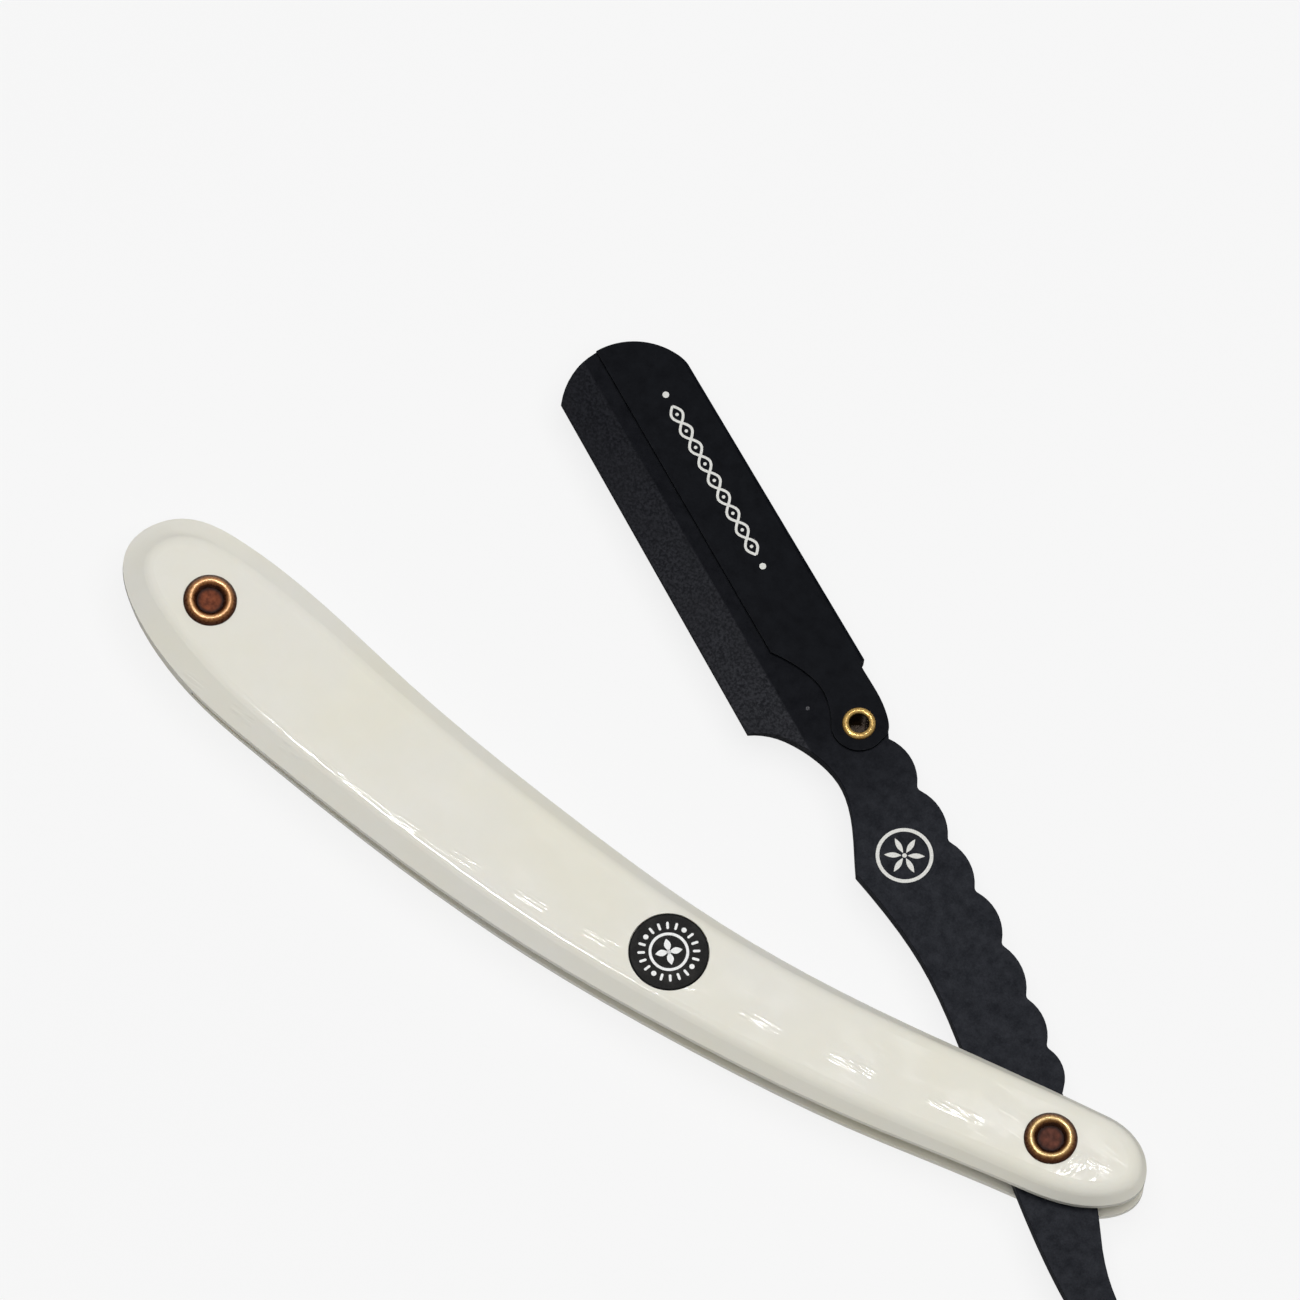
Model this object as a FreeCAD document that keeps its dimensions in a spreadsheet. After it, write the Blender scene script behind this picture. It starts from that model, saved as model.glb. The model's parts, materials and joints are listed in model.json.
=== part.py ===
import FreeCAD, Part
import math
import os

import Sketcher
from FreeCAD import Placement, Rotation, Vector

# A folding barber's razor that holds half a double-edge blade.
#
# Frame: the origin is on the main pivot's axis, in the plane of the pivot pin's flat back head.
# +X runs from the wedge end of the handle to its pivot end, +Y is the side on which the arm opens,
# and +Z comes out of the front of the handle.  All sizes are in millimetres and degrees.
#
# Every flat piece is drawn as seen from the front, in the plane of its own lower or inner face.
# The blade arm and its cover are drawn in the arm's frame: its X axis lies along the closed handle
# and its origin is the main pivot.  Their bodies are then turned by the opening angle.

SIZES = {
    # stack, from the back pin head to the front collar
    "head_proud": 0.15,
    "collar_height": 0.75,
    "facet_height": 2.9,
    "wall_height": 0.8,
    "handle_gap": 3.0,
    "washer_thickness": 0.53,
    "leaf_thickness": 0.95,
    "cover_sheet": 0.45,
    "cover_clearance": 0.02,
    # handle
    "pin_spacing": 113.0,
    "pin_radius": 1.5,
    "collar_radius": 3.03,
    "crest_radius": 2.25,
    "head_radius": 1.9,
    "washer_radius": 4.5,
    "back_scale_turn": 0.38,
    "wedge_inner_radius": 109.8,
    "wedge_inset": 0.25,
    "crease_fillet": 1.8,
    "medallion_x": 47.5,
    "medallion_y": 5.73,
    "medallion_radius": 4.52,
    "medallion_thickness": 0.5,
    "recess_radius": 4.6,
    "recess_depth": 0.45,
    # blade arm and cover
    "opening_angle": 28.4,
    "tang_hole_radius": 1.55,
    "eyelet_x": 53.95,
    "eyelet_y": 4.93,
    "eyelet_radius": 1.4,
    "eyelet_bore": 1.1,
    "eyelet_floor": 0.9,
    "flange_radius": 1.9,
    "flange_crest": 1.85,
    "flange_clearance": 0.02,
    "eyelet_clearance": 0.05,
    "blade_pin_y": 0.76,
    "heel_pin_x": 58.33,
    "blade_pin_spacing": 43.57,
    "blade_pin_radius": 0.5,
    "blade_pin_tip_radius": 0.22,
    "blade_pin_length": 0.5,
    "blade_seat_depth": 0.06,
    "bevel_edge_thickness": 0.35,
    "valley_fillet": 0.7,
    "leaf_edge_fillet": 0.12,
    "medallion_edge_fillet": 0.1,
    "fold_radius": 0.5,
    "fold_inner_radius": 0.25,
}

doc = FreeCAD.newDocument("straight_razor")
sheet = doc.addObject("Spreadsheet::Sheet", "Sizes")
for row, (alias, value) in enumerate(SIZES.items(), start=1):
    sheet.set("A%d" % row, alias)
    sheet.set("B%d" % row, str(value))
    sheet.setAlias("B%d" % row, alias)
doc.recompute()


def size(alias):
    """The sheet's value for an alias."""
    return float(sheet.get(alias))


# ---------------------------------------------------------------------------------------------
# Outlines
# ---------------------------------------------------------------------------------------------

# Plan of a handle scale, anticlockwise from the pivot end's upper shoulder.
SCALE_POINTS = [
    (3.8, 6.5),
    (-10.0, 4.55),
    (-28.0, 2.05),
    (-46.0, 1.05),
    (-65.0, 2.1),
    (-90.0, 5.17),
    (-114.0, 8.55),
    (-121.6, 6.8),
    (-124.5, 1.6),
    (-115.3, -7.35),
    (-100.0, -10.85),
    (-80.0, -12.85),
    (-60.0, -13.45),
    (-40.0, -12.3),
    (-20.0, -9.8),
    (-1.5, -6.25),
    (8.4, -3.05),
    (11.4, 1.3),
    (9.6, 4.9),
]

# The sloped border between a scale's rim and its flat middle widens towards the wedge end.
SLOPE_WIDTH_AT_PIVOT = 1.2
SLOPE_WIDENING = 0.0145

# Crests and valleys of the seven finger scallops along the arm's spine.
SCALLOP_CRESTS = [
    (-47.9, 8.33),
    (-41.3, 8.38),
    (-34.4, 8.28),
    (-27.8, 8.2),
    (-20.7, 7.6),
    (-14.6, 6.92),
    (-8.6, 6.13),
]
SCALLOP_VALLEYS = [
    (-51.0, 7.2),
    (-44.3, 7.15),
    (-37.3, 7.3),
    (-30.7, 7.15),
    (-23.7, 6.8),
    (-16.9, 6.25),
    (-10.7, 5.5),
    (-5.2, 4.55),
]

# The rounded tip of the blade holder.
TIP_CENTRE = (-98.2, 0.2)
TIP_RADIUS = 8.4

# The cutting edge line and the corners of the bevel that thins the leaves towards it.
EDGE_Y = -6.55
HEEL_X = -58.9
BEVEL_TOP_AT_TIP = -2.15
BEVEL_TOP_AT_HEEL = -1.35
BEVEL_HEEL_X = -52.0
BEVEL_LENGTH = 58.0

# Where the cover's fold starts and ends along the spine.
FOLD_HEEL_X = -60.5
FOLD_TIP_X = -100.4
FOLD_HEEL_Y = 9.2
FOLD_SLOPE = 0.0231
# The fold's edges are the long ones that keep this close to its line.
FOLD_SHORTEST_EDGE = 10.0
FOLD_TOLERANCE = 0.02
LEAF_SPINE_INSET = 0.85
LEAF_HEEL_TOP = [(-60.3, 8.25), (-55.85, 8.35), (-53.4, 8.05)]

# The cover's front edge, S-bend, lobe round the eyelet and top edge behind the fold.
COVER_FRONT_Y = -0.3
# Where the cover's rounded end passes through, as an angle on the tip's circle, in degrees.
COVER_TIP_VIA_ANGLE = 150.0
COVER_FRONT_HEEL = (-66.0, 0.15)
COVER_S_BEND = [(-64.2, 1.4), (-62.1, 2.5), (-59.6, 3.2), (-57.1, 2.9)]
LOBE_RADIUS = 3.15
LOBE_START = -107.0
LOBE_END = 28.0
COVER_HEEL_TOP = [(-51.6, 7.4), (-53.44, 8.24), (-55.85, 8.53), (-60.25, 8.45)]

# The tail past the pivot and the waist between the grip and the heel of the blade holder.
TAIL_TOP = [(2.0, 3.2), (8.8, 1.5), (13.7, -0.45), (19.6, -1.75), (26.5, -1.35), (32.6, 0.4)]
TAIL_END = (35.07, -0.97)
TAIL_BOTTOM = [
    (33.7, -3.45),
    (27.0, -5.35),
    (20.0, -6.55),
    (12.8, -6.6),
    (1.1, -5.4),
    (-15.6, -2.9),
    (-26.3, -2.1),
    (-34.7, -3.0),
    (-38.5, -3.72),
]
WAIST = [(-40.6, -2.75), (-44.0, -1.2), (-49.0, -0.1), (-53.5, -1.3), (-57.2, -3.8)]

# Top of the blade's seat, and how the pins and collars are shaped over the scales' flat middles.
SEAT_TOP = 4.2
HOLLOW_DEPTH = 0.55
COLLAR_RIM = 0.11
PIN_END_ABOVE_FACET = 0.05

BACK = -1
FRONT = 1


def vector(point):
    """A plan point as a vector."""
    return Vector(point[0], point[1], 0)


def closed_curve(points):
    """A smooth closed curve through points."""
    curve = Part.BSplineCurve()
    curve.interpolate(Points=[vector(p) for p in points], PeriodicFlag=True)
    return curve


def closed_outline(points):
    """A smooth closed outline through points, as two curves that meet at the first and a far one."""
    whole = closed_curve(points)
    start = whole.FirstParameter
    turn = whole.parameter(vector(points[len(points) // 2]))
    upper = whole.copy()
    upper.segment(start, turn)
    lower = whole.copy()
    lower.segment(turn, whole.LastParameter)
    return [upper, lower]


def open_curve(points):
    """A smooth open curve through points."""
    curve = Part.BSplineCurve()
    curve.interpolate(Points=[vector(p) for p in points])
    return curve


def line(start, end):
    """A straight segment."""
    return Part.LineSegment(vector(start), vector(end))


def closed_loop(points):
    """Straight segments round a polygon."""
    return [line(a, b) for a, b in zip(points, points[1:] + points[:1])]


def arc(start, middle, end):
    """A circular arc through three points."""
    return Part.Arc(vector(start), vector(middle), vector(end))


def tip_point(angle):
    """A point of the holder's rounded tip, by its angle from +X in degrees."""
    turn = math.radians(angle)
    x = TIP_CENTRE[0] + TIP_RADIUS * math.cos(turn)
    y = TIP_CENTRE[1] + TIP_RADIUS * math.sin(turn)
    return (x, y)


def tip_angle_at_height(height):
    """The angle at which the rounded tip's far side crosses a height."""
    return 180.0 - math.degrees(math.asin((height - TIP_CENTRE[1]) / TIP_RADIUS))


def inset_points(points, width_at):
    """The points of a closed outline moved inwards by width_at(x), square to the outline."""
    curve = closed_curve(points)
    moved = []
    for x, y in points:
        tangent = curve.tangent(curve.parameter(vector((x, y))))[0]
        width = width_at(x)
        moved.append((x - tangent.y * width, y + tangent.x * width))
    return moved


def slope_width(x):
    """Width in plan of a scale's sloped border."""
    return SLOPE_WIDTH_AT_PIVOT - SLOPE_WIDENING * x


def fold_height(x):
    """Height of the fold's outer line over the arm's axis."""
    return FOLD_HEEL_Y + FOLD_SLOPE * (x - FOLD_HEEL_X)


# ---------------------------------------------------------------------------------------------
# Helpers for bodies, sketches and features
# ---------------------------------------------------------------------------------------------

def new_body(name):
    """A sub-part: its label is the name of its file and node."""
    body = doc.addObject("PartDesign::Body", name)
    body.Label = name
    return body


def new_sketch(body, name, role="XY_Plane", **offset):
    """A sketch on one of the body's origin planes, moved by expressions for x, y and z."""
    sketch = body.newObject("Sketcher::SketchObject", body.Name + "_" + name)
    planes = [plane for plane in body.Origin.OriginFeatures if plane.Role == role]
    sketch.AttachmentSupport = [(planes[0], "")]
    sketch.MapMode = "FlatFace"
    for axis, expression in offset.items():
        sketch.setExpression("AttachmentOffset.Base." + axis, expression)
    return sketch


def outline_sketch(body, name, curves, role="XY_Plane", **offset):
    """A sketch of ready curves that form a closed outline."""
    sketch = new_sketch(body, name, role, **offset)
    sketch.addGeometry(curves, False)
    return sketch


def polygon_sketch(body, name, points, role="XY_Plane", **offset):
    """A sketch of straight sides."""
    return outline_sketch(body, name, closed_loop(points), role, **offset)


def circle_sketch(body, name, radius, **offset):
    """A sketch of one circle about the sketch's own origin, its radius bound to an expression."""
    sketch = new_sketch(body, name, **offset)
    circle = sketch.addGeometry(Part.Circle(Vector(0, 0, 0), Vector(0, 0, 1), 1.0), False)
    sketch.addConstraint(Sketcher.Constraint("Coincident", circle, 3, -1, 1))
    radius_index = sketch.addConstraint(Sketcher.Constraint("Radius", circle, 1.0))
    sketch.setExpression("Constraints[%d]" % radius_index, radius)
    return sketch


def pad(body, name, sketch, length, **options):
    """A pad whose length is bound to an expression."""
    feature = body.newObject("PartDesign::Pad", body.Name + "_" + name)
    feature.Profile = sketch
    feature.setExpression("Length", length)
    for option, value in options.items():
        setattr(feature, option, value)
    return feature


def cut(body, name, sketch, depth, **options):
    """A pocket of a bound depth.  It must remove material."""
    feature = body.newObject("PartDesign::Pocket", body.Name + "_" + name)
    feature.Profile = sketch
    feature.setExpression("Length", depth)
    for option, value in options.items():
        setattr(feature, option, value)
    check_removes(feature)
    return feature


def cut_through(body, name, sketch):
    """A pocket right through the body, both ways from its sketch."""
    feature = body.newObject("PartDesign::Pocket", body.Name + "_" + name)
    feature.Profile = sketch
    feature.SideType = "Symmetric"
    feature.Type = "ThroughAll"
    check_removes(feature)
    return feature


def check_removes(feature):
    """Stops if a pocket points away from its solid."""
    doc.recompute()
    before = feature.BaseFeature.Shape.Volume
    after = feature.Shape.Volume
    if not after < before - 1e-6:
        raise RuntimeError("%s removes nothing" % feature.Name)


def edges_where(feature, chosen):
    """The names of a feature's edges that satisfy a test."""
    doc.recompute()
    edges = enumerate(feature.Shape.Edges, start=1)
    return ["Edge%d" % index for index, edge in edges if chosen(edge)]


def at_level(height):
    """A test for the edges that lie in the plane at a height."""
    return lambda edge: all(abs(vertex.Z - height) < 1e-6 for vertex in edge.Vertexes)


def fillet(body, name, feature, radius, chosen):
    """A fillet of a bound radius on the chosen edges of a feature."""
    names = edges_where(feature, chosen)
    if not names:
        raise RuntimeError("%s_%s finds no edge" % (body.Name, name))
    rounding = body.newObject("PartDesign::Fillet", body.Name + "_" + name)
    rounding.Base = (feature, names)
    rounding.setExpression("Radius", radius)
    return rounding


def turned(name, profile, role="XZ_Plane"):
    """A body turned about its own Z axis from a closed half profile of curves."""
    body = new_body(name)
    sketch = outline_sketch(body, "profile", profile, role)
    feature = body.newObject("PartDesign::Revolution", name + "_turning")
    feature.Profile = sketch
    feature.ReferenceAxis = (sketch, ["V_Axis"])
    feature.Angle = 360.0
    return body


def place(body, x="0", y="0", z="0", turn="0"):
    """Puts a body by expressions.  A positive turn is clockwise, seen from the front."""
    body.Placement = Placement(Vector(0, 0, 0), Rotation(Vector(0, 0, -1), 1.0))
    body.setExpression("Placement.Base.x", x)
    body.setExpression("Placement.Base.y", y)
    body.setExpression("Placement.Base.z", z)
    body.setExpression("Placement.Rotation.Angle", "(%s) * 1 deg" % turn)


def place_on_arm(body, x, y):
    """Puts a body at a point of the arm's own frame, given by expressions, at the arm's middle."""
    cosine = "cos(Sizes.opening_angle * 1 deg)"
    sine = "sin(Sizes.opening_angle * 1 deg)"
    across = "(%s) * %s + (%s) * %s" % (x, cosine, y, sine)
    up = "-(%s) * %s + (%s) * %s" % (x, sine, y, cosine)
    place(body, across, up, MIDDLE_LEVEL, "Sizes.opening_angle")


# Levels along the stack, as expressions of the sheet.
BACK_FACET_LEVEL = "Sizes.head_proud + Sizes.collar_height"
BACK_INNER_LEVEL = BACK_FACET_LEVEL + " + Sizes.facet_height"
MIDDLE_LEVEL = BACK_INNER_LEVEL + " + Sizes.handle_gap / 2"
FRONT_INNER_LEVEL = BACK_INNER_LEVEL + " + Sizes.handle_gap"
FRONT_FACET_LEVEL = FRONT_INNER_LEVEL + " + Sizes.facet_height"


# ---------------------------------------------------------------------------------------------
# Handle
# ---------------------------------------------------------------------------------------------

def scale_blank(name, side):
    """A handle scale: rim, sloped border and flat middle, on one side of its inner face."""
    body = new_body(name)
    sign = "" if side == FRONT else "-"
    outline = outline_sketch(body, "outline", closed_outline(SCALE_POINTS))
    pad(body, "rim", outline, "Sizes.wall_height", Reversed=side != FRONT)
    shoulder = outline_sketch(body, "shoulder", closed_outline(SCALE_POINTS),
                              z=sign + "Sizes.wall_height")
    middle_points = inset_points(SCALE_POINTS, slope_width)
    middle = outline_sketch(body, "middle", closed_outline(middle_points),
                            z=sign + "Sizes.facet_height")
    slope = body.newObject("PartDesign::AdditiveLoft", name + "_slope")
    slope.Profile = shoulder
    slope.Sections = [middle]
    slope.Ruled = True
    fillet(body, "crease", slope, "Sizes.crease_fillet", at_level(side * size("facet_height")))
    return body


def make_front_scale():
    """The scale that carries the medallion's recess."""
    body = scale_blank("front_scale", FRONT)
    pivot = circle_sketch(body, "pivot_hole", "Sizes.pin_radius")
    cut_through(body, "pivot_bore", pivot)
    wedge = circle_sketch(body, "wedge_hole", "Sizes.pin_radius", x="-Sizes.pin_spacing")
    cut_through(body, "wedge_bore", wedge)
    recess = circle_sketch(body, "recess_plan", "Sizes.recess_radius",
                           x="-Sizes.medallion_x", y="-Sizes.medallion_y", z="Sizes.facet_height")
    cut(body, "recess", recess, "Sizes.recess_depth")
    place(body, z=FRONT_INNER_LEVEL)


def make_back_scale():
    """The plain scale, set a little askew on the pivot as these handles are riveted up."""
    body = scale_blank("back_scale", BACK)
    pivot = circle_sketch(body, "pivot_hole", "Sizes.pin_radius")
    cut_through(body, "pivot_bore", pivot)
    wedge = circle_sketch(body, "wedge_hole", "Sizes.pin_radius",
                          x="-Sizes.pin_spacing * cos(Sizes.back_scale_turn * 1 deg)",
                          y="-Sizes.pin_spacing * sin(Sizes.back_scale_turn * 1 deg)")
    cut_through(body, "wedge_bore", wedge)
    place(body, z=BACK_INNER_LEVEL, turn="Sizes.back_scale_turn")


def make_wedge_spacer():
    """The spacer at the far end, set halfway between the scales and hollowed to clear the arm."""
    body = new_body("wedge_spacer")
    inset = size("wedge_inset")
    points = inset_points(SCALE_POINTS, lambda x: inset)
    outline = outline_sketch(body, "outline", closed_outline(points))
    pad(body, "plate", outline, "Sizes.handle_gap")
    inner = circle_sketch(body, "inner_plan", "Sizes.wedge_inner_radius")
    cut_through(body, "inner_end", inner)
    hole = circle_sketch(body, "pin_hole", "Sizes.pin_radius",
                         x="-Sizes.pin_spacing * cos(Sizes.back_scale_turn / 2 * 1 deg)",
                         y="-Sizes.pin_spacing * sin(Sizes.back_scale_turn / 2 * 1 deg)")
    cut_through(body, "pin_bore", hole)
    place(body, z=BACK_INNER_LEVEL, turn="Sizes.back_scale_turn / 2")


def make_medallion():
    """The round inlay, glued into the front scale's recess."""
    body = new_body("medallion")
    disc = circle_sketch(body, "plan", "Sizes.medallion_radius")
    solid = pad(body, "disc", disc, "Sizes.medallion_thickness")
    top = at_level(size("medallion_thickness"))
    fillet(body, "edge", solid, "Sizes.medallion_edge_fillet", top)
    place(body, "-Sizes.medallion_x", "-Sizes.medallion_y", FRONT_FACET_LEVEL + " - Sizes.recess_depth")


def make_pin(name, x):
    """A handle pin: flat back head in the back collar, shank, and upset end in the front one."""
    shank = size("pin_radius")
    head = size("head_radius")
    collar = size("collar_height")
    proud = size("head_proud")
    facet = proud + collar
    total = facet + 2 * size("facet_height") + size("handle_gap")
    end = total + PIN_END_ABOVE_FACET
    corners = [
        (0, 0),
        (head, 0),
        (head, facet - HOLLOW_DEPTH),
        (shank, facet - PIN_END_ABOVE_FACET),
        (shank, end),
        (0, end),
    ]
    body = turned(name, closed_loop(corners))
    place(body, x=x)


def make_collar(name, x, level, side):
    """A rolled collar: flat foot, sloped outside, round crest and a hollow round the pin."""
    outer = size("collar_radius")
    crest = size("crest_radius")
    height = size("collar_height")
    head = size("head_radius")
    shank = size("pin_radius")
    shoulder = HOLLOW_DEPTH
    crest_outer = 2 * crest - head
    profile = [
        line((shank, 0), (outer, 0)),
        line((outer, 0), (outer, side * COLLAR_RIM)),
        line((outer, side * COLLAR_RIM), (crest_outer, side * shoulder)),
        arc((crest_outer, side * shoulder), (crest, side * height), (head, side * shoulder)),
        line((head, side * shoulder), (shank, side * PIN_END_ABOVE_FACET)),
        line((shank, side * PIN_END_ABOVE_FACET), (shank, 0)),
    ]
    body = turned(name, profile)
    place(body, x=x, z=level)


def make_washer(name, level):
    """A flat washer between a scale and the tang."""
    body = new_body(name)
    plan = circle_sketch(body, "plan", "Sizes.washer_radius")
    pad(body, "disc", plan, "Sizes.washer_thickness")
    hole = circle_sketch(body, "hole", "Sizes.pin_radius")
    cut_through(body, "bore", hole)
    place(body, z=level)


# ---------------------------------------------------------------------------------------------
# Blade arm
# ---------------------------------------------------------------------------------------------

def leaf_outline():
    """A leaf of the arm: blade holder, waist, scalloped grip and the tail past the pivot."""
    spine_tip_y = fold_height(FOLD_TIP_X) - LEAF_SPINE_INSET
    spine_tip = tip_point(tip_angle_at_height(spine_tip_y))
    step_top = LEAF_HEEL_TOP[0]
    spine_heel = (step_top[0], spine_tip[1] + FOLD_SLOPE * (step_top[0] - spine_tip[0]))
    edge_tip = tip_point(tip_angle_at_height(EDGE_Y))
    edge_heel = (HEEL_X, EDGE_Y)
    first_valley = SCALLOP_VALLEYS[0]
    last_valley = SCALLOP_VALLEYS[-1]
    curves = [
        line(edge_heel, edge_tip),
        arc(edge_tip, tip_point(180.0), spine_tip),
        line(spine_tip, spine_heel),
        line(spine_heel, step_top),
        open_curve(LEAF_HEEL_TOP + [first_valley]),
    ]
    for start, crest, end in zip(SCALLOP_VALLEYS, SCALLOP_CRESTS, SCALLOP_VALLEYS[1:]):
        curves.append(arc(start, crest, end))
    curves += [
        open_curve([last_valley] + TAIL_TOP),
        arc(TAIL_TOP[-1], TAIL_END, TAIL_BOTTOM[0]),
        open_curve(TAIL_BOTTOM),
        open_curve([TAIL_BOTTOM[-1]] + WAIST + [edge_heel]),
    ]
    return curves


def make_leaf(name, side):
    """One of the two spring leaves that grip the blade between them."""
    body = new_body(name)
    front = side == FRONT
    outline = outline_sketch(body, "outline", leaf_outline())
    plate = pad(body, "plate", outline, "Sizes.leaf_thickness", Reversed=not front)
    inner_valleys = SCALLOP_VALLEYS[1:-1]

    def in_valley(edge):
        ends = edge.Vertexes
        upright = len(ends) == 2 and math.dist(ends[0].Point[:2], ends[1].Point[:2]) < 1e-6
        return upright and any(math.dist(ends[0].Point[:2], p) < 1e-3 for p in inner_valleys)

    valleys = fillet(body, "valleys", plate, "Sizes.valley_fillet", in_valley)
    outer_face = side * size("leaf_thickness")
    fillet(body, "edge", valleys, "Sizes.leaf_edge_fillet", at_level(outer_face))
    leaf_holes(body, front)
    bevel(body, side)
    blade_seat(body, front)
    place(body, z=MIDDLE_LEVEL, turn="Sizes.opening_angle")


def leaf_holes(body, front):
    """Bores for the main pivot, the cover's eyelet and the two blade pins."""
    tip_pin_x = "-Sizes.heel_pin_x - Sizes.blade_pin_spacing"
    cut_through(body, "pivot_bore", circle_sketch(body, "pivot_hole", "Sizes.tang_hole_radius"))
    eyelet = circle_sketch(body, "eyelet_hole", "Sizes.eyelet_radius",
                           x="-Sizes.eyelet_x", y="Sizes.eyelet_y")
    cut_through(body, "eyelet_bore", eyelet)
    for end, x in (("heel", "-Sizes.heel_pin_x"), ("tip", tip_pin_x)):
        socket = circle_sketch(body, end + "_socket", "Sizes.blade_pin_radius",
                               x=x, y="Sizes.blade_pin_y")
        if front:
            cut(body, end + "_socket_bore", socket, "Sizes.blade_pin_length", Reversed=True)
            eye = circle_sketch(body, end + "_eye", "Sizes.blade_pin_tip_radius",
                                x=x, y="Sizes.blade_pin_y")
            cut_through(body, end + "_eye_bore", eye)
        else:
            cut_through(body, end + "_socket_bore", socket)


def bevel(body, side):
    """The long flat bevel that thins a leaf towards the cutting edge."""
    thick = size("leaf_thickness")
    thin = size("bevel_edge_thickness")
    drop = (thick - thin) / (BEVEL_TOP_AT_HEEL - EDGE_Y)
    reach = 2 * EDGE_Y
    corners = [
        (BEVEL_TOP_AT_HEEL, side * thick),
        (reach, side * (thick + drop * (reach - BEVEL_TOP_AT_HEEL))),
        (reach, side * 2 * thick),
        (BEVEL_TOP_AT_HEEL, side * 2 * thick),
    ]
    section = polygon_sketch(body, "bevel_section", corners, "YZ_Plane")
    skew = math.degrees(math.atan((BEVEL_TOP_AT_HEEL - BEVEL_TOP_AT_TIP) / BEVEL_LENGTH))
    section.AttachmentOffset = Placement(Vector(0, 0, BEVEL_HEEL_X), Rotation(Vector(0, 1, 0), skew))
    cut(body, "bevel", section, str(BEVEL_LENGTH))


def blade_seat(body, front):
    """The shallow seat in a leaf's inner face for half a double-edge blade."""
    heel = -size("heel_pin_x")
    tip = heel - size("blade_pin_spacing")
    corners = [(heel, 2 * EDGE_Y), (heel, SEAT_TOP), (tip, SEAT_TOP), (tip, 2 * EDGE_Y)]
    plan = polygon_sketch(body, "seat_plan", corners)
    cut(body, "seat", plan, "Sizes.blade_seat_depth", Reversed=front)


def make_blade_pin(name, x):
    """A stepped pin that locates one end of the blade and ends flush in the front leaf."""
    leaf = size("leaf_thickness")
    shank = size("blade_pin_radius")
    tip = size("blade_pin_tip_radius")
    step = size("blade_pin_length")
    corners = [(0, -leaf), (shank, -leaf), (shank, step), (tip, step), (tip, leaf), (0, leaf)]
    body = turned(name, closed_loop(corners))
    place_on_arm(body, x, "Sizes.blade_pin_y")


def make_eyelet():
    """The semi-tubular rivet on which the cover swings: rolled over in front, solid behind."""
    bore = size("eyelet_bore")
    outer = size("eyelet_radius")
    flange = size("flange_radius")
    crest = size("flange_crest")
    foot = size("leaf_thickness") + size("cover_clearance") + size("cover_sheet")
    foot += size("flange_clearance")
    middle = (bore + flange) / 2
    rise = crest - foot
    dome = (flange ** 2 + rise ** 2) / (2 * rise)
    head_via = (flange / 2, -crest + dome - math.sqrt(dome ** 2 - flange ** 2 / 4))
    profile = [
        line((0, -size("eyelet_floor")), (0, -crest)),
        arc((0, -crest), head_via, (flange, -foot)),
        line((flange, -foot), (outer, -foot)),
        line((outer, -foot), (outer, foot)),
        line((outer, foot), (flange, foot)),
        arc((flange, foot), (middle, crest), (bore, foot)),
        line((bore, foot), (bore, -size("eyelet_floor"))),
        line((bore, -size("eyelet_floor")), (0, -size("eyelet_floor"))),
    ]
    body = turned("cover_eyelet", profile)
    place_on_arm(body, "-Sizes.eyelet_x", "Sizes.eyelet_y")


# ---------------------------------------------------------------------------------------------
# Cover
# ---------------------------------------------------------------------------------------------

def cover_outline():
    """A flank of the cover: straight fold, round tip, front edge, S-bend and lobe."""
    centre = (-size("eyelet_x"), size("eyelet_y"))
    fold_heel = (FOLD_HEEL_X, FOLD_HEEL_Y)
    fold_tip = tip_point(tip_angle_at_height(fold_height(FOLD_TIP_X)))
    front_tip = tip_point(tip_angle_at_height(COVER_FRONT_Y))

    def lobe(angle):
        turn = math.radians(angle)
        return (centre[0] + LOBE_RADIUS * math.cos(turn), centre[1] + LOBE_RADIUS * math.sin(turn))

    return [
        line(fold_heel, fold_tip),
        arc(fold_tip, tip_point(COVER_TIP_VIA_ANGLE), front_tip),
        line(front_tip, COVER_FRONT_HEEL),
        open_curve([COVER_FRONT_HEEL] + COVER_S_BEND + [lobe(LOBE_START)]),
        arc(lobe(LOBE_START), lobe(0.0), lobe(LOBE_END)),
        open_curve([lobe(LOBE_END)] + COVER_HEEL_TOP),
        line(COVER_HEEL_TOP[-1], fold_heel),
    ]


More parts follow.
